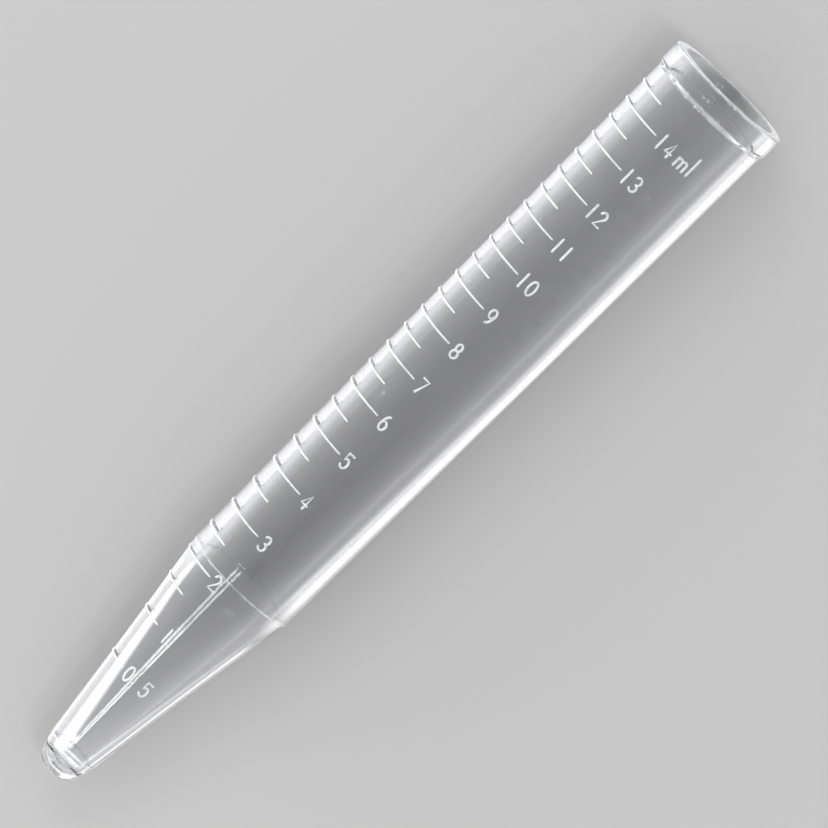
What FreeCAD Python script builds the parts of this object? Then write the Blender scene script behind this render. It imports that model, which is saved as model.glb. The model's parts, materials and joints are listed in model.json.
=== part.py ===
"""A 15 ml conical tube: one injection-moulded piece of clear polystyrene, lying on its side.

The tube is drawn along X, from the outside of its tip at x = 0 to its mouth at x = LENGTH, and is
then laid down as it comes to rest, on the collar and on the knee between cone and body. Its scale
faces up. Angles round the tube are in degrees from the top line, positive towards -Y, so with the
mouth held up they read from left to right.
"""
import FreeCAD, Part
import math
import os
from FreeCAD import Vector

# Outer form
LENGTH = 120.0
TIP_FACE_R = 2.38            # the flat end, before its edge is rounded
TIP_ROUND_R = 2.25
TIP_STEP_X = 3.75            # a slight step where the cone's mould part meets the tip's
TIP_STEP_R = 3.44
TIP_STEP_HEIGHT = 0.05
TIP_STEP_LENGTH = 0.12
WAIST_X = 21.0               # the cone's side is slightly hollow, and deepest here
WAIST_R = 5.83
KNEE_X = 33.9
KNEE_R = 7.83
BODY_TOP_R = 8.46

# Collar round the mouth
COLLAR_R = 8.75
COLLAR_LENGTH = 3.0
SHOULDER_LENGTH = 0.45       # the slope from the body up to the collar
RIM_BEVEL = 0.25

# Hollow inside
FLOOR_X = 1.35               # inner side of the closed end
FLOOR_R = 2.14
INNER_KNEE_X = 30.0
INNER_KNEE_R = 6.205
INNER_KNEE_BLEND_R = 80.0
BORE_R = 7.26                # parallel from BORE_START_X up to the mouth
BORE_START_X = 74.5

# Raised scale
RELIEF = 0.12                # how far lines and figures stand out of the wall
ROOT = 0.3                   # how deep their solids reach into it
LINE_WIDTH = 0.32
LINE_STEP_ML = 0.5
LAST_LINE_ML = 14.5
LINE_START_DEG = -97.0
LONG_LINE_END_DEG = -18.0    # at each whole millilitre
SHORT_LINE_END_DEG = -35.0
CONE_LINE_END_DEG = {0.5: -32.0, 1.0: -34.0, 1.5: -34.0, 2.0: -24.0}

# Figures, along the wall's girth from the top line
FIGURE_HEIGHT = 2.05         # between the middles of the strokes
FIGURE_WIDTH = 0.92
FIGURE_PITCH = 1.48
STROKE_WIDTH = 0.30
ONE_FIGURE_AT = -1.15
TWO_FIGURES_AT = -1.50
UNIT_BESIDE = "14"
UNIT_M_AT = 2.15
UNIT_L_AT = 3.60
UNIT_X_HEIGHT = 1.25
UNIT_M_WIDTH = 1.40
UNIT_L_HEIGHT = 2.70
CONE_FIGURES_AT = {"0.5": -1.65, "1": -1.62, "2": -2.05}
POINT_PITCH = 1.15           # from the nought to the point, and half of that to the five
ARC_STEP_DEG = 50.0

END = Vector(1, 0, 0)
ORIGIN = Vector(0, 0, 0)
SEAM_DEG = 292.0             # where the turned faces close on themselves, clear of the line it rests on


# Profiles

def rounded_wire(corners):
    """A closed wire through (x, r, rounding) corners, drawn in the XZ plane."""
    points = [Vector(x, 0, r) for x, r, _ in corners]
    count = len(points)
    entries, exits = [], []
    for i, (_, _, rounding) in enumerate(corners):
        here = points[i]
        back = (points[i - 1] - here).normalize()
        ahead = (points[(i + 1) % count] - here).normalize()
        half_turn = (math.pi - back.getAngle(ahead)) / 2
        reach = rounding * math.tan(half_turn)
        entries.append(here + back * reach)
        exits.append(here + ahead * reach)
    edges = []
    for i, (_, _, rounding) in enumerate(corners):
        if rounding:
            edges.append(corner_arc(entries[i], points[i], exits[i], rounding))
        if exits[i].distanceToPoint(entries[(i + 1) % count]) > 1e-6:
            edges.append(Part.LineSegment(exits[i], entries[(i + 1) % count]).toShape())
    return Part.Wire(edges)


def corner_arc(start, corner, end, radius):
    """The arc that rounds a corner, from one side's tangent point to the other's."""
    chord_middle = (start + end) * 0.5
    outward = (corner - chord_middle).normalize()
    half_chord = start.distanceToPoint(chord_middle)
    rise = radius - math.sqrt(radius * radius - half_chord * half_chord)
    return Part.Arc(start, chord_middle + outward * rise, end).toShape()


def turned(wire):
    """The solid that a closed half-profile sweeps round the tube's axis."""
    wire.rotate(ORIGIN, END, SEAM_DEG)
    return Part.Face(wire).revolve(ORIGIN, END, 360)


def straight_r(x, x0, r0, x1, r1):
    return r0 + (r1 - r0) * (x - x0) / (x1 - x0)


COLLAR_X = LENGTH - COLLAR_LENGTH
BODY_TOP_X = COLLAR_X - SHOULDER_LENGTH
CONE_START_X = TIP_STEP_X + TIP_STEP_LENGTH
CONE_START_R = TIP_STEP_R + TIP_STEP_HEIGHT
INNER_CONE_ANGLE = math.atan((INNER_KNEE_R - FLOOR_R) / (INNER_KNEE_X - FLOOR_X))
FLOOR_BALL_R = FLOOR_R / math.tan((math.pi / 2 - INNER_CONE_ANGLE) / 2)


def outer_r(x):
    """Radius of the outer wall on the cone or the body."""
    if x < WAIST_X:
        return straight_r(x, CONE_START_X, CONE_START_R, WAIST_X, WAIST_R)
    if x < KNEE_X:
        return straight_r(x, WAIST_X, WAIST_R, KNEE_X, KNEE_R)
    return straight_r(x, KNEE_X, KNEE_R, BODY_TOP_X, BODY_TOP_R)


def inner_r(x):
    """Radius of the hollow, with its floor taken as a ball's end."""
    if x <= FLOOR_X:
        return 0.0
    wall = FLOOR_R + (INNER_KNEE_R - FLOOR_R) * (x - FLOOR_X) / (INNER_KNEE_X - FLOOR_X)
    if x > INNER_KNEE_X:
        wall = min(BORE_R, straight_r(x, INNER_KNEE_X, INNER_KNEE_R, BORE_START_X, BORE_R))
    below_centre = FLOOR_BALL_R - (x - FLOOR_X)
    if below_centre > 0:
        return min(wall, math.sqrt(FLOOR_BALL_R ** 2 - below_centre ** 2))
    return wall


def plain_tube():
    """The wall, from the middle of the outer tip, up to the mouth and down inside to the floor."""
    return turned(rounded_wire([
        (0, 0, 0),
        (0, TIP_FACE_R, TIP_ROUND_R),
        (TIP_STEP_X, TIP_STEP_R, 0),
        (CONE_START_X, CONE_START_R, 0),
        (WAIST_X, WAIST_R, 0),
        (KNEE_X, KNEE_R, 0),
        (BODY_TOP_X, BODY_TOP_R, 0),
        (COLLAR_X, COLLAR_R, 0),
        (LENGTH - RIM_BEVEL, COLLAR_R, 0),
        (LENGTH, COLLAR_R - RIM_BEVEL, 0),
        (LENGTH, BORE_R, 0),
        (BORE_START_X, BORE_R, 0),
        (INNER_KNEE_X, INNER_KNEE_R, INNER_KNEE_BLEND_R),
        (FLOOR_X, FLOOR_R, FLOOR_BALL_R),
        (FLOOR_X, 0, 0),
    ]))


# Scale lines

def line_heights():
    """Where the hollow holds each half millilitre, as {volume in ml: x}."""
    heights, filled, x, slice_length = {}, 0.0, FLOOR_X, 0.02
    for i in range(1, round(LAST_LINE_ML / LINE_STEP_ML) + 1):
        volume = i * LINE_STEP_ML
        while filled < volume * 1000:
            filled += math.pi * inner_r(x + slice_length / 2) ** 2 * slice_length
            x += slice_length
        heights[volume] = x
    return heights


def line_end(volume):
    if volume in CONE_LINE_END_DEG:
        return CONE_LINE_END_DEG[volume]
    return LONG_LINE_END_DEG if volume == round(volume) else SHORT_LINE_END_DEG


def scale_line(x, end_deg):
    """A rib part of the way round, with flanks that meet in a ridge."""
    foot, top = outer_r(x) - ROOT, outer_r(x) + RELIEF
    half_foot = LINE_WIDTH / 2 * (ROOT + RELIEF) / RELIEF
    outline = [(-half_foot, foot), (half_foot, foot), (0, top)]
    wire = Part.makePolygon([Vector(x + dx, 0, r) for dx, r in outline + outline[:1]])
    face = Part.Face(wire)
    face.rotate(ORIGIN, END, LINE_START_DEG)
    return face.revolve(ORIGIN, END, end_deg - LINE_START_DEG)


# Figures, as strokes: lists of points in a box from (-1, -1) to (1, 1)

def bow(cx, cy, rx, ry, start_deg, end_deg):
    """Points along part of an ellipse, anticlockwise if end_deg is the larger."""
    steps = max(2, round(abs(end_deg - start_deg) / ARC_STEP_DEG))
    angles = [math.radians(start_deg + (end_deg - start_deg) * i / steps) for i in range(steps + 1)]
    return [(cx + rx * math.cos(a), cy + ry * math.sin(a)) for a in angles]


FIGURES = {
    "0": [bow(0, 0, 1, 1, 90, 450)],
    "1": [[(0, -1), (0, 1)]],
    "2": [bow(0, 0.45, 0.95, 0.55, 165, -20) + [(-1, -1), (1, -1)]],
    "3": [bow(0, 0.50, 0.90, 0.50, 150, -90), bow(0, -0.50, 1, 0.50, 90, -150)],
    "4": [[(1, -0.40), (-1, -0.40), (0.45, 1)], [(0.45, 1), (0.45, -1)]],
    "5": [[(0.85, 1), (-0.80, 1), (-0.87, 0)], bow(-0.05, -0.35, 1, 0.65, 145, -145)],
    "6": [bow(0.35, -0.35, 1.30, 1.35, 95, 175), bow(0, -0.40, 0.95, 0.60, 90, 450)],
    "7": [[(-1, 1), (1, 1), (-0.35, -1)]],
    "8": [bow(0, 0.52, 0.80, 0.48, 90, 450), bow(0, -0.48, 1, 0.52, 90, 450)],
    "9": [bow(0, 0.40, 0.95, 0.60, 90, 450), bow(-0.35, 0.35, 1.30, 1.35, -5, -85)],
    ".": [[(0, -1.02), (0, -0.90)]],
}


def stroke_outline(points, half_width):
    """The band of ground that a pen covers along the points, as one closed list of points."""
    closed = math.dist(points[0], points[-1]) < 1e-6
    sides = ([], [])
    last = len(points) - 1
    for i, (x, y) in enumerate(points):
        before = points[i - 1] if i else (points[last - 1] if closed else points[0])
        after = points[i + 1] if i < last else (points[1] if closed else points[last])
        d0 = direction(before, (x, y)) or direction((x, y), after)
        d1 = direction((x, y), after) or d0
        nx, ny = -(d0[1] + d1[1]), d0[0] + d1[0]
        size = math.hypot(nx, ny)
        mitre = half_width / max(0.45, size / 2)
        for side, sign in zip(sides, (1, -1)):
            side.append((x + sign * nx / size * mitre, y + sign * ny / size * mitre))
    return closed, sides


def direction(a, b):
    length = math.dist(a, b)
    return ((b[0] - a[0]) / length, (b[1] - a[1]) / length) if length > 1e-9 else None


def flat_face(points):
    return Part.Face(Part.makePolygon([Vector(y, -x, 0) for x, y in points + points[:1]]))


def stroke_face(points):
    """A stroke drawn flat: its height along X, and its width from left to right along -Y."""
    closed, (left, right) = stroke_outline(points, STROKE_WIDTH / 2)
    if closed:
        ring = [flat_face(side[:-1]) for side in (left, right)]
        ring.sort(key=lambda face: face.Area)
        return ring[1].cut(ring[0]).Faces[0]
    return flat_face(left + right[::-1])


def figure_strokes(name):
    width, height = FIGURE_WIDTH / 2, FIGURE_HEIGHT / 2
    return [[(x * width, y * height) for x, y in stroke] for stroke in FIGURES[name]]


def letter_m():
    """Strokes of the letter m, centred on its width and standing on the figures' line."""
    foot, radius = -FIGURE_HEIGHT / 2, UNIT_M_WIDTH / 4
    spring = foot + UNIT_X_HEIGHT - radius
    stem = [(-2 * radius, foot), (-2 * radius, foot + UNIT_X_HEIGHT)]
    bows = [bow(side * radius, spring, radius, radius, 180, 0) + [((side + 1) * radius, foot)]
            for side in (-1, 1)]
    return [stem] + bows


def letter_l():
    foot = -FIGURE_HEIGHT / 2
    return [[(0, foot), (0, foot + UNIT_L_HEIGHT)]]


def label(volume):
    """The figures of one label, as (strokes, place along the girth from the top line)."""
    if volume < 1:
        return [(figure_strokes(name), CONE_FIGURES_AT["0.5"] + POINT_PITCH * step)
                for name, step in (("0", 0), (".", 1), ("5", 2.5))]
    text = str(round(volume))
    start = CONE_FIGURES_AT.get(text, ONE_FIGURE_AT if len(text) == 1 else TWO_FIGURES_AT)
    figures = [(figure_strokes(name), start + FIGURE_PITCH * i) for i, name in enumerate(text)]
    if text == UNIT_BESIDE:
        figures += [(letter_m(), UNIT_M_AT), (letter_l(), UNIT_L_AT)]
    return figures


def wall_slope(x):
    """Degrees by which the outer wall climbs towards the mouth at x."""
    return math.degrees(math.atan(outer_r(x + 0.5) - outer_r(x - 0.5)))


def raised_strokes(strokes, at, x):
    """One figure's strokes as solids rooted in the wall at height x, their tops in one plane."""
    solids = []
    for points in strokes:
        solid = stroke_face(points).extrude(Vector(0, 0, ROOT + RELIEF))
        solid.rotate(ORIGIN, Vector(0, 1, 0), -wall_slope(x))
        solid.translate(Vector(x, 0, outer_r(x) - ROOT))
        solid.rotate(ORIGIN, END, math.degrees(at / outer_r(x)))
        solids.append(solid)
    return solids


def scale_relief():
    solids = []
    for volume, x in line_heights().items():
        solids.append(scale_line(x, line_end(volume)))
        if volume == LINE_STEP_ML or volume == round(volume):
            for strokes, at in label(volume):
                solids += raised_strokes(strokes, at, x)
    return solids


# The whole tube

def laid_down(shape):
    """Tip the tube onto its collar and knee, with the floor under its middle at the origin."""
    rest_tilt = math.degrees(math.atan2(COLLAR_R - KNEE_R, COLLAR_X - KNEE_X))
    shape.rotate(ORIGIN, Vector(0, 1, 0), -rest_tilt)
    box = shape.optimalBoundingBox(False, False)
    shape.translate(Vector(-box.Center.x, -box.Center.y, -box.ZMin))
    return shape


def conical_tube():
    return laid_down(plain_tube().multiFuse(scale_relief()))


os.makedirs("parts", exist_ok=True)
tube = conical_tube()
tube.Solids[0].exportStep("parts/conical_tube.step")
print("solids", len(tube.Solids), "valid", tube.isValid(), "volume", round(tube.Volume, 1))
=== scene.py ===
import bpy
import bmesh
import json
import math
from mathutils import Matrix, Vector
from mathutils.geometry import interpolate_bezier

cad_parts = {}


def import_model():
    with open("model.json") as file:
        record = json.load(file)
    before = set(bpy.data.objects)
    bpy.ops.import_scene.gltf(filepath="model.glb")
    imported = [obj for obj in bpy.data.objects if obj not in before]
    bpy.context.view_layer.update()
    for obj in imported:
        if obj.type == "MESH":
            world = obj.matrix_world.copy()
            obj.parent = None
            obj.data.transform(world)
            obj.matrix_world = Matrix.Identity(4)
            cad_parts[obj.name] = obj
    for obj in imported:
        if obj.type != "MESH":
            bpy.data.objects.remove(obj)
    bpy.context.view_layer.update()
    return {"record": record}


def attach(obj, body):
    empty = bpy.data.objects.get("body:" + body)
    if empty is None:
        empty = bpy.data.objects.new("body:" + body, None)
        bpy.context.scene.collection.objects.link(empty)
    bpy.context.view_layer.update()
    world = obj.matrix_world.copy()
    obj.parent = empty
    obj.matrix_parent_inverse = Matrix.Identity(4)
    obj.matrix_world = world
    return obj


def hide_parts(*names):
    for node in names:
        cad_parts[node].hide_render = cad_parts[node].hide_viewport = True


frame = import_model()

# The tube's own measures, in millimetres along its axis from the outside of the tip
LENGTH = 120.0
TIP_STEP_X, TIP_STEP_R = 3.75, 3.44
CONE_START_X, CONE_START_R = 3.87, 3.49
WAIST_X, WAIST_R = 21.0, 5.83
KNEE_X, KNEE_R = 33.9, 7.83
BODY_TOP_X, BODY_TOP_R = 116.55, 8.46
COLLAR_X, COLLAR_R = 117.0, 8.75
FLOOR_X, FLOOR_R = 1.35, 2.14
INNER_KNEE_X, INNER_KNEE_R = 30.0, 6.205
BORE_START_X, BORE_R = 74.5, 7.26

# The wall's section: along the axis, out from it, how far a rounding reaches, and its steps
SECTION = [
    (0, 0, 0, 0),
    (0, 2.38, 1.70, 12),
    (TIP_STEP_X, TIP_STEP_R, 0.04, 2),
    (CONE_START_X, CONE_START_R, 0.06, 2),
    (WAIST_X, WAIST_R, 7.0, 12),
    (KNEE_X, KNEE_R, 0.22, 5),
    (BODY_TOP_X, BODY_TOP_R, 0.15, 4),
    (COLLAR_X, COLLAR_R, 0.12, 4),
    (LENGTH, COLLAR_R, 0.28, 6),
    (LENGTH, BORE_R, 0.16, 5),
    (BORE_START_X, BORE_R, 5.0, 8),
    (INNER_KNEE_X, INNER_KNEE_R, 4.6, 12),
    (FLOOR_X, FLOOR_R, 2.05, 14),
    (FLOOR_X, 0, 0, 0),
]
ROUND_STEPS = 224
MERGE_WITHIN = 1e-5

# The raised scale, drawn with a round pen that is sunk a little into the wall. A line is thicker
# than the pen at its hidden end and thinner at its seen one. PEN_ENDS rounds off each stroke: how
# far past its end, in pen radii, and what share of its thickness is left there.
PEN_R = 0.17
PEN_SUNK = 0.05
PEN_ENDS = [(0.6, 0.7), (0.9, 0.15)]
TOUCHING = 1e-6
HALF_ML = 500
SLICE_LENGTH = 0.02
LINE_THICK, LINE_THIN = 1.20, 0.80
LINE_STEP_DEG = 3.0
LINE_START_DEG = -97.0
LONG_LINE_END_DEG = -18.0
SHORT_LINE_END_DEG = -35.0
CONE_LINE_END_DEG = {0.5: -32.0, 1.0: -34.0, 1.5: -34.0, 2.0: -24.0}
LAST_LINE_ML = 14.5
FIGURE_HEIGHT, FIGURE_WIDTH, FIGURE_PITCH = 2.05, 0.92, 1.48
ONE_FIGURE_AT, TWO_FIGURES_AT = -1.15, -1.50
CONE_FIGURES_AT = {"0.5": -1.65, "1": -1.62, "2": -2.05}
POINT_PITCH = 1.15
FIVE_PITCHES = 2.5
UNIT_BESIDE = "14"
UNIT_M_AT, UNIT_L_AT = 2.15, 3.60
UNIT_X_HEIGHT, UNIT_M_WIDTH, UNIT_L_HEIGHT = 1.25, 1.40, 2.70
ARC_STEP_DEG = 18.0

# Where the plain wall is finely frosted: round its corners, as x, r, reach and amount
FROSTED_CORNERS = [
    (1.0, 1.4, 2.4, 0.55),
    (CONE_START_X, CONE_START_R, 0.30, 0.80),
    (KNEE_X, KNEE_R, 0.28, 0.64),
    (BODY_TOP_X, BODY_TOP_R, 0.22, 0.60),
    (COLLAR_X, COLLAR_R, 0.18, 0.62),
    (LENGTH, COLLAR_R, 0.40, 1.10),
    (LENGTH, BORE_R, 0.25, 1.00),
    (LENGTH, (COLLAR_R + BORE_R) / 2, 0.90, 1.15),
    (FLOOR_X + 0.3, 1.5, 1.9, 0.90),
]
FROST_STARTS, FROST_ENDS, FROST_MOST = 0.20, 1.0, 0.85

# A side of the section gets one more point this far from each end, where the frost can stop, if
# that is less than this share of its length
FROST_END = 0.3
RINGED_BELOW = 0.35

# The plastic's patterns, in spots to a metre: soft waves drawn out along the tube, with their depth
# in metres, and the haze and grain, with how much each breaks up the frost
WAVE_SPOTS, WAVE_DEPTH = (60, 260, 260), 3.5e-6
HAZE_SPOTS, HAZE_IN_FROST = 420.0, 0.9
GRAIN_SPOTS, GRAIN_IN_FROST = 2200.0, 0.7
NOISE_MIDDLE = 0.5
IOR = 1.59

FLOOR_HALF_SIDE = 4.0
FLOOR_GREY = 0.55
SKY_LIGHT = 0.80
BACKDROP_RAYS = ("Is Camera Ray", "Is Glossy Ray", "Is Transmission Ray")

# The lamps in the part's frame, in metres: place, what they aim at, size and radiance. The two thin
# ones show as a double line along the cone.
LAMPS = [
    ("key", (0.55, 0.55, 0.85), (0, 0, 0), (0.5, 0.5), 1.4),
    ("fill", (-0.95, -0.15, 0.55), (0, 0, 0), (0.4, 0.7), 1.2),
    ("thin_outer", (0.088, -1.314, 2.700), (-0.030, 0, 0.012), (0.55, 0.30), 12),
    ("thin_inner", (0.088, -0.776, 2.900), (-0.030, 0, 0.012), (0.55, 0.30), 12),
]

# Low lamps at the sides, which bring out the frosting and leave the clear wall as it is
SIDE_LAMPS = [
    ("side_left", (0, 0.55, 0.035), (0, 0, 0.01), (1.2, 0.05), 25.0),
    ("side_right", (0, -0.55, 0.035), (0, 0, 0.01), (1.2, 0.05), 8.5),
]

# Strips of light that lie on the floor and shine up into the tube's edges, in its own
# millimetres: start and end of the inner edge, which has the strip on its right, width, fades
# inwards from that edge, the outer edge and the two ends, radiance and colour
STRIPS = [
    ("right_near", (29, -7.9), (119.5, -8.3), 14, (3.2, 9, 7, 2), 0.56, (1, 1, 1)),
    ("right_far", (29, -9), (119.5, -9), 60, (4, 55, 7, 2), 0.22, (1, 1, 1)),
    ("left", (119.5, 5.7), (24, 5.4), 50, (4.0, 38, 2, 10), 0.48, (0.97, 0.97, 1.03)),
    ("cone_left", (34, 7.8), (-1.5, -0.3), 6.0, (1.5, 1.6, 5, 4), 1.1, (1, 1, 1)),
    ("cone_left_far", (32, 10.5), (-3, 4.0), 22, (2, 18, 8, 5), 0.24, (0.94, 0.92, 1.05)),
    ("cone_right", (-2, -4.3), (30, -11), 4.5, (1.2, 1.8, 4, 4), 0.75, (1, 1, 1)),
    ("tip", (2.8, -5.5), (-2.8, -5.5), 10.5, (1.5, 1.5, 0.8, 1), 0.75, (1, 1, 1)),
    ("tip_lens", (4.7, 0.2), (2, 0.2), 3, (0.8, 1, 1, 0.6), 0.65, (1, 1, 1)),
    ("tip_ahead", (-2.4, -6), (-22, -6), 12, (3, 3, 1, 10), 0.45, (1, 1, 1)),
    ("mouth_right", (119.4, -3.5), (129, -3.5), 12, (3, 5, 0.6, 5), 0.8, (1, 1, 1)),
    ("mouth_left", (129, 3.5), (119.4, 3.5), 12, (3, 5, 5, 0.6), 0.8, (1, 1, 1)),
]
STRIP_HEIGHT = 0.0004

# The camera in the tube's own millimetres
CAMERA_EYE = (281.72, -0.59, 1464.0)
CAMERA_AIM = (63.92, -0.59, 0.0)
CAMERA_SLANT_DEG = 45.06
CAMERA_SENSOR, CAMERA_LENS = 36.0, 521.4
CAMERA_SEES_TO = 20.0

# Where the tube lies: its own frame, in millimetres, to the part's frame, in metres
mouth = {m["name"]: m for m in frame["record"]["mounts"]}["mouth_bore"]
AXIS = Vector(mouth["axis"]).normalized()
SIDE = Vector((0, 1, 0))
TURN = Matrix((AXIS, SIDE, AXIS.cross(SIDE))).transposed()
TIP = Vector((mouth["pos_m"][0], 0, mouth["pos_m"][2])) - AXIS * LENGTH / 1000
PLACE = Matrix.Translation(TIP) @ TURN.to_4x4() @ Matrix.Scale(0.001, 4)


# The wall

def rounded(section):
    """The section's points, with each corner rounded by an arc."""
    points = []
    for i, (x, r, reach, steps) in enumerate(section):
        corner = Vector((x, 0, r))
        if not reach:
            points.append(corner)
            continue
        back, ahead = ((Vector((section[j][0], 0, section[j][1])) - corner).normalized()
                       for j in (i - 1, i + 1))
        turn = math.pi - back.angle(ahead)
        pull = reach * (1 - 4 / 3 * math.tan(turn / 4) / math.tan(turn / 2))
        points += interpolate_bezier(corner + back * reach, corner + back * pull,
                                     corner + ahead * pull, corner + ahead * reach, steps + 1)
    return points


def ringed(points):
    """The section with one more point near both ends of each long side."""
    ringed_points = points[:1]
    for a, b in zip(points, points[1:]):
        share = FROST_END / (b - a).length
        if share < RINGED_BELOW:
            ringed_points += [a.lerp(b, share), b.lerp(a, share)]
        ringed_points.append(b)
    return ringed_points


def wall_mesh():
    """The plain tube. Each corner of a face keeps the wall's slope there, along and outward."""
    bm = bmesh.new()
    verts = [bm.verts.new(point) for point in ringed(rounded(SECTION))]
    edges = [bm.edges.new(pair) for pair in zip(verts, verts[1:])]
    bmesh.ops.spin(bm, geom=verts + edges, cent=(0, 0, 0), axis=(1, 0, 0),
                   angle=2 * math.pi, steps=ROUND_STEPS, use_merge=True)
    bmesh.ops.remove_doubles(bm, verts=bm.verts, dist=MERGE_WITHIN)
    bmesh.ops.recalc_face_normals(bm, faces=bm.faces)
    slope = bm.loops.layers.uv.new("slope")
    for vert in bm.verts:
        normal = Vector()
        for face in vert.link_faces:
            normal += face.normal * face.calc_area()
        normal.normalize()
        outward = Vector((0, vert.co.y, vert.co.z)).normalized()
        for loop in vert.link_loops:
            loop[slope].uv = normal.x, normal.dot(outward)
    mesh = bpy.data.meshes.new("plain_wall")
    bm.to_mesh(mesh)
    bm.free()
    return mesh


# The scale

def between(x, x0, r0, x1, r1):
    """The radius at x on the straight side from one corner to the next."""
    return r0 + (r1 - r0) * (x - x0) / (x1 - x0)


def outer_r(x):
    """Radius of the outer wall on the cone or the body."""
    if x < WAIST_X:
        return between(x, CONE_START_X, CONE_START_R, WAIST_X, WAIST_R)
    if x < KNEE_X:
        return between(x, WAIST_X, WAIST_R, KNEE_X, KNEE_R)
    return between(x, KNEE_X, KNEE_R, BODY_TOP_X, BODY_TOP_R)


def inner_r(x):
    """Radius of the hollow, with its floor taken as a ball's end."""
    lean = math.atan((INNER_KNEE_R - FLOOR_R) / (INNER_KNEE_X - FLOOR_X))
    ball = FLOOR_R / math.tan((math.pi / 2 - lean) / 2)
    wall = between(x, FLOOR_X, FLOOR_R, INNER_KNEE_X, INNER_KNEE_R)
    if x > INNER_KNEE_X:
        wall = min(BORE_R, between(x, INNER_KNEE_X, INNER_KNEE_R, BORE_START_X, BORE_R))
    below = ball - (x - FLOOR_X)
    return min(wall, math.sqrt(ball ** 2 - below ** 2)) if below > 0 else wall


def line_heights():
    """Where the hollow holds each half millilitre."""
    heights, filled, x = {}, 0.0, FLOOR_X
    for halves in range(1, round(LAST_LINE_ML * 2) + 1):
        while filled < halves * HALF_ML:
            filled += math.pi * inner_r(x + SLICE_LENGTH / 2) ** 2 * SLICE_LENGTH
            x += SLICE_LENGTH
        heights[halves / 2] = x
    return heights


def bow(cx, cy, rx, ry, start_deg, end_deg):
    """Points along part of an ellipse, anticlockwise if end_deg is the larger."""
    steps = max(2, round(abs(end_deg - start_deg) / ARC_STEP_DEG))
    angles = [math.radians(start_deg + (end_deg - start_deg) * i / steps) for i in range(steps + 1)]
    return [(cx + rx * math.cos(a), cy + ry * math.sin(a)) for a in angles]


FIGURES = {
    "0": [bow(0, 0, 1, 1, 90, 450)],
    "1": [[(0, -1), (0, 1)]],
    "2": [bow(0, 0.45, 0.95, 0.55, 165, -20) + [(-1, -1), (1, -1)]],
    "3": [bow(0, 0.50, 0.90, 0.50, 150, -90) + bow(0, -0.50, 1, 0.50, 90, -150)[1:]],
    "4": [[(1, -0.40), (-1, -0.40), (0.45, 1), (0.45, -1)]],
    "5": [[(0.85, 1), (-0.80, 1)] + bow(-0.05, -0.35, 1, 0.65, 145, -145)],
    "6": [bow(0.35, -0.35, 1.30, 1.35, 95, 175), bow(0, -0.40, 0.95, 0.60, 90, 450)],
    "7": [[(-1, 1), (1, 1), (-0.35, -1)]],
    "8": [bow(0, 0.52, 0.80, 0.48, 90, 450), bow(0, -0.48, 1, 0.52, 90, 450)],
    "9": [bow(0, 0.40, 0.95, 0.60, 90, 450), bow(-0.35, 0.35, 1.30, 1.35, -5, -85)],
    ".": [[(0, -1.02), (0, -0.90)]],
}


def figure(name, at):
    """A figure's strokes on flat ground, in millimetres across and up from its line's height."""
    return [[(at + x * FIGURE_WIDTH / 2, y * FIGURE_HEIGHT / 2) for x, y in stroke]
            for stroke in FIGURES[name]]


def unit():
    """The letters ml."""
    foot, radius = -FIGURE_HEIGHT / 2, UNIT_M_WIDTH / 4
    spring = foot + UNIT_X_HEIGHT - radius
    left = UNIT_M_AT - 2 * radius
    strokes = [[(left, foot), (left, foot + UNIT_X_HEIGHT)]]
    for middle in (UNIT_M_AT - radius, UNIT_M_AT + radius):
        strokes.append(bow(middle, spring, radius, radius, 180, 0) + [(middle + radius, foot)])
    strokes.append([(UNIT_L_AT, foot), (UNIT_L_AT, foot + UNIT_L_HEIGHT)])
    return strokes


def label(volume):
    """The strokes beside one line."""
    if volume < 1:
        start = CONE_FIGURES_AT["0.5"]
        return (figure("0", start) + figure(".", start + POINT_PITCH)
                + figure("5", start + FIVE_PITCHES * POINT_PITCH))
    text = str(round(volume))
    start = CONE_FIGURES_AT.get(text, ONE_FIGURE_AT if len(text) == 1 else TWO_FIGURES_AT)
    strokes = []
    for i, name in enumerate(text):
        strokes += figure(name, start + FIGURE_PITCH * i)
    return strokes + (unit() if text == UNIT_BESIDE else [])


def line_end(volume):
    """Where a line ends, in degrees from the top line."""
    if volume in CONE_LINE_END_DEG:
        return CONE_LINE_END_DEG[volume]
    return LONG_LINE_END_DEG if volume == round(volume) else SHORT_LINE_END_DEG


def on_wall(x, angle):
    """The pen's middle over the outer wall, with the angle from the top line towards -Y."""
    r = outer_r(x) - PEN_SUNK
    return Vector((x, -r * math.sin(angle), r * math.cos(angle)))


def pen_end(before, end):
    """The rounded end that the pen leaves past a stroke's last point."""
    place, thickness = end
    outward = (place - before[0]).normalized() * PEN_R
    return [(place + outward * past, thickness * share) for past, share in PEN_ENDS]


def draw(curve, points, thick=1.0, thin=1.0):
    """One stroke of the pen from its thick end to its thin one, closed if its ends meet."""
    last = len(points) - 1
    stroke = [(point, thick + (thin - thick) * i / last) for i, point in enumerate(points)]
    closed = (points[0] - points[-1]).length < TOUCHING
    if closed:
        stroke.pop()
    else:
        stroke = (pen_end(stroke[1], stroke[0])[::-1] + stroke
                  + pen_end(stroke[-2], stroke[-1]))
    spline = curve.splines.new("POLY")
    spline.points.add(len(stroke) - 1)
    for knot, (point, thickness) in zip(spline.points, stroke):
        knot.co = (*point, 1)
        knot.radius = thickness
    spline.use_cyclic_u = closed


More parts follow.
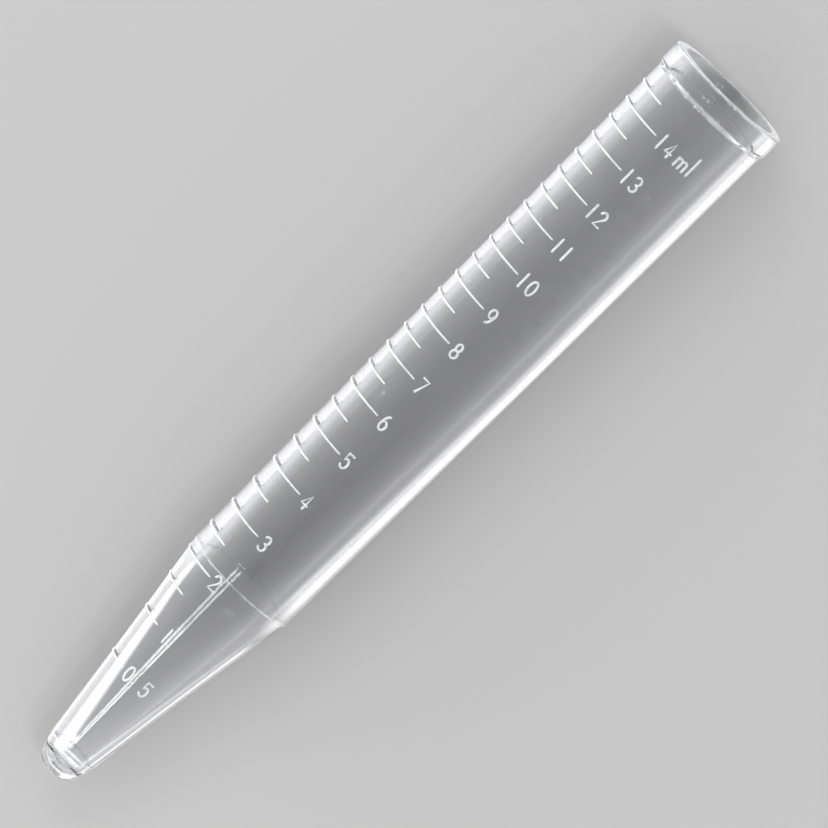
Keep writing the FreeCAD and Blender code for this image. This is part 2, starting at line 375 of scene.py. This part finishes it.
def scale_curve():
    """All the lines and figures as one curve with a round section."""
    curve = bpy.data.curves.new("scale", "CURVE")
    curve.dimensions = "3D"
    curve.bevel_depth = PEN_R
    curve.bevel_resolution = 2
    curve.use_fill_caps = True
    for volume, x in line_heights().items():
        start, end = math.radians(LINE_START_DEG), math.radians(line_end(volume))
        steps = max(4, round(math.degrees(end - start) / LINE_STEP_DEG))
        draw(curve, [on_wall(x, start + (end - start) * i / steps) for i in range(steps + 1)],
             LINE_THICK, LINE_THIN)
        if volume == 0.5 or volume == round(volume):
            for stroke in label(volume):
                draw(curve, [on_wall(x + up, across / outer_r(x)) for across, up in stroke])
    return curve


def frost_at(point):
    """How much of the corners' frost the plain wall has at a point of its own frame."""
    r = math.hypot(point.y, point.z)
    return max(amount * max(0.0, 1 - math.hypot(point.x - x, r - corner_r) / reach)
               for x, corner_r, reach, amount in FROSTED_CORNERS)


def placed(name, data):
    """A new object in the scene."""
    thing = bpy.data.objects.new(name, data)
    bpy.context.scene.collection.objects.link(thing)
    return thing


def finished_mesh(thing):
    """An object's mesh with its modifiers, or its curve's bevel, made real."""
    bpy.context.view_layer.update()
    return bpy.data.meshes.new_from_object(
        thing.evaluated_get(bpy.context.evaluated_depsgraph_get()))


def moulded_mesh():
    """The wall and its raised scale made one."""
    wall = placed("plain_wall", wall_mesh())
    pen = placed("scale_curve", scale_curve())
    scale = placed("scale", finished_mesh(pen))
    union = wall.modifiers.new("scale", "BOOLEAN")
    union.operation = "UNION"
    union.solver = "EXACT"
    union.use_self = True
    union.object = scale
    mesh = finished_mesh(wall)
    for helper in (wall, pen, scale):
        bpy.data.objects.remove(helper)
    return mesh


def shade(mesh):
    """Frost the mesh and return its normals, which on the wall are as round as its section."""
    bm = bmesh.new()
    bm.from_mesh(mesh)
    slope = bm.loops.layers.uv["slope"]
    # The slope's length is 1 on the wall and 0 on the scale, which has none
    is_wall = {face: all(loop[slope].uv.length > 0.5 for loop in face.loops) for face in bm.faces}
    for face in bm.faces:
        face.smooth = True
    for edge in bm.edges:
        edge.smooth = len({is_wall[face] for face in edge.link_faces}) == 1
    bm.to_mesh(mesh)
    normals, frost = [], []
    for face in bm.faces:
        for loop in face.loops:
            if not is_wall[face]:
                normals.append(Vector())
                frost.append(1.0)
                continue
            frost.append(frost_at(loop.vert.co))
            along, out = loop[slope].uv.normalized()
            around = Vector((0, loop.vert.co.y, loop.vert.co.z)).normalized() * out
            normals.append(TURN @ Vector((along, around.y, around.z)))
    bm.free()
    mesh.uv_layers.remove(mesh.uv_layers["slope"])
    mesh.attributes.new("frost", "FLOAT", "CORNER").data.foreach_set("value", frost)
    return normals


def tube():
    """The moulded tube in its place, all in its mesh."""
    mesh = moulded_mesh()
    normals = shade(mesh)
    mesh.transform(PLACE)
    mesh.normals_split_custom_set(normals)
    mesh.name = "tube"
    return placed("tube", mesh)


# Finishes

class Socket:
    """A node's output that can be used in sums."""

    def __init__(self, nodes, output):
        self.nodes = nodes
        self.output = output

    def _math(self, operation, a, b):
        return self.nodes.add("ShaderNodeMath", {"operation": operation}, {0: a, 1: b})

    def __add__(self, other):
        return self._math("ADD", self, other)

    def __sub__(self, other):
        return self._math("SUBTRACT", self, other)

    def __rsub__(self, other):
        return self._math("SUBTRACT", other, self)

    def __mul__(self, other):
        return self._math("MULTIPLY", self, other)

    __radd__ = __add__
    __rmul__ = __mul__


class Nodes:
    """A material's or world's nodes."""

    def __init__(self, owner):
        owner.use_nodes = True
        self.tree = owner.node_tree
        self.tree.nodes.clear()

    def add(self, kind, settings=None, values=None, out=0):
        """A new node with its settings, and then the values or links of its sockets."""
        node = self.tree.nodes.new(kind)
        for name, value in (settings or {}).items():
            setattr(node, name, value)
        for name, value in (values or {}).items():
            if isinstance(value, Socket):
                self.tree.links.new(value.output, node.inputs[name])
            else:
                node.inputs[name].default_value = value
        return Socket(self, node.outputs[out]) if node.outputs else node


def clear_plastic():
    """Clear moulded polystyrene, finely frosted on its raised scale and along its corners."""
    material = bpy.data.materials.new("clear_polystyrene")
    n = Nodes(material)
    place = n.add("ShaderNodeTexCoord", out="Object")
    along = n.add("ShaderNodeMapping", {}, {"Vector": place, "Scale": WAVE_SPOTS})
    waves = n.add("ShaderNodeTexNoise", {}, {"Vector": along, "Scale": 1.0, "Detail": 2.0})
    haze = n.add("ShaderNodeTexNoise", {}, {"Vector": place, "Scale": HAZE_SPOTS, "Detail": 3.0})
    grain = n.add("ShaderNodeTexNoise", {}, {"Vector": place, "Scale": GRAIN_SPOTS, "Detail": 1.0})
    bump = n.add("ShaderNodeBump", {}, {"Height": waves, "Distance": WAVE_DEPTH, "Strength": 1.0})
    clear = n.add("ShaderNodeBsdfPrincipled", {}, {
        "Base Color": (0.985, 0.987, 0.997, 1),
        "Roughness": 0.01 + haze * 0.03,
        "Normal": bump,
        "IOR": IOR,
        "Transmission Weight": 1.0,
    })
    frosted = n.add("ShaderNodeBsdfPrincipled", {}, {
        "Base Color": (0.93, 0.935, 0.955, 1),
        "Roughness": 0.40 + grain * 0.3,
        "IOR": IOR,
        "Transmission Weight": 0.25,
    })
    frost = n.add("ShaderNodeAttribute", {"attribute_name": "frost"}, out="Fac")
    broken_up = (frost + (grain - NOISE_MIDDLE) * GRAIN_IN_FROST
                 + (haze - NOISE_MIDDLE) * HAZE_IN_FROST)
    amount = n.add("ShaderNodeMapRange", {}, {
        "Value": broken_up,
        "From Min": FROST_STARTS,
        "From Max": FROST_ENDS,
        "To Min": 0.0,
        "To Max": FROST_MOST,
    })
    shader = n.add("ShaderNodeMixShader", {}, {0: amount, 1: clear, 2: frosted})
    n.add("ShaderNodeOutputMaterial", {}, {"Surface": shader})
    return material


# Floor, sky and lamps

def floor():
    """A plain pale floor, which keeps the tube's shadow."""
    bm = bmesh.new()
    bmesh.ops.create_grid(bm, x_segments=1, y_segments=1, size=FLOOR_HALF_SIDE)
    mesh = bpy.data.meshes.new("floor")
    bm.to_mesh(mesh)
    bm.free()
    plane = placed("floor", mesh)
    material = bpy.data.materials.new("pale_floor")
    n = Nodes(material)
    shader = n.add("ShaderNodeBsdfDiffuse", {}, {"Color": (FLOOR_GREY, FLOOR_GREY, FLOOR_GREY, 1)})
    n.add("ShaderNodeOutputMaterial", {}, {"Surface": shader})
    mesh.materials.append(material)


def world():
    """An even sky, seen in the floor's grey by the camera and in the clear plastic."""
    sky = bpy.data.worlds.new("studio")
    bpy.context.scene.world = sky
    n = Nodes(sky)
    light = n.add("ShaderNodeBackground", {}, {"Color": (1, 1, 1, 1), "Strength": SKY_LIGHT})
    pale = n.add("ShaderNodeBackground", {}, {"Color": (1, 1, 1, 1), "Strength": FLOOR_GREY})
    seen = sum(n.add("ShaderNodeLightPath", out=kind) for kind in BACKDROP_RAYS)
    mixed = n.add("ShaderNodeMixShader", {}, {0: seen, 1: light, 2: pale})
    n.add("ShaderNodeOutputWorld", {}, {"Surface": mixed})


def lamp(name, size, radiance, place, side, back):
    """A flat lamp of an even radiance, its long side along side, shining away from back."""
    light = bpy.data.lights.new(name, "AREA")
    light.shape = "RECTANGLE"
    light.size, light.size_y = size
    light.energy = radiance * math.pi * size[0] * size[1]
    holder = placed(name, light)
    turn = Matrix((side, back.cross(side), back)).transposed()
    holder.matrix_world = Matrix.Translation(place) @ turn.to_4x4()
    return holder


def softbox(name, place, aim, size, radiance):
    """A lamp over the tube, its long side lying along the tube."""
    back = (Vector(place) - Vector(aim)).normalized()
    side = Vector((1, 0, 0))
    return lamp(name, size, radiance, place, (side - back * side.dot(back)).normalized(), back)


def side_light(*row):
    """A low softbox that lights the frosting and isn't mirrored by the clear wall."""
    holder = softbox(*row)
    holder.visible_glossy = False
    holder.visible_transmission = False


def strip(name, start, end, width, fades, radiance, colour):
    """One strip of light on the floor, soft at its edges."""
    start, end = (Vector((TIP.x + x / 1000, y / 1000, STRIP_HEIGHT)) for x, y in (start, end))
    width /= 1000
    length = (end - start).length
    side, back = (end - start).normalized(), Vector((0, 0, -1))
    place = (start + end) / 2 + back.cross(side) * width / 2
    light = lamp(name, (length, width), radiance, place, side, back).data
    light.color = colour
    n = Nodes(light)
    spot = n.add("ShaderNodeNewGeometry", out="Parametric")
    u = n.add("ShaderNodeSeparateXYZ", {}, {"Vector": spot}, out="X")
    v = n.add("ShaderNodeSeparateXYZ", {}, {"Vector": spot}, out="Y")
    glow = 1.0
    for ramp, fade, across in zip((v, 1 - v, u, 1 - u), fades, (width, width, length, length)):
        glow = glow * n.add("ShaderNodeMapRange", {"interpolation_type": "SMOOTHSTEP"},
                            {"Value": ramp, "From Max": fade / 1000 / across})
    shader = n.add("ShaderNodeEmission", {}, {"Strength": glow})
    n.add("ShaderNodeOutputLight", {}, {"Surface": shader})


def camera():
    """Looks down on the tube, leaning a little towards the mouth, with the tube across the view."""
    eye = PLACE @ Vector(CAMERA_EYE)
    aim = PLACE @ Vector(CAMERA_AIM)
    forward = (aim - eye).normalized()
    along = (AXIS - forward * AXIS.dot(forward)).normalized()
    down = -SIDE
    slant = math.radians(CAMERA_SLANT_DEG)
    right = along * math.cos(slant) + down * math.sin(slant)
    up = along * math.sin(slant) - down * math.cos(slant)
    data = bpy.data.cameras.new("camera")
    data.sensor_width = CAMERA_SENSOR
    data.lens = CAMERA_LENS
    data.clip_end = CAMERA_SEES_TO
    holder = placed("camera", data)
    turn = Matrix((right, up, -forward)).transposed()
    holder.matrix_world = Matrix.Translation(eye) @ turn.to_4x4()
    bpy.context.scene.camera = holder


piece = tube()
piece.data.materials.clear()
piece.data.materials.append(clear_plastic())
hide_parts("conical_tube")
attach(piece, "root")

floor()
world()
for row in LAMPS:
    softbox(*row)
for row in SIDE_LAMPS:
    side_light(*row)
for row in STRIPS:
    strip(*row)
camera()
bpy.context.scene.view_settings.view_transform = "Standard"
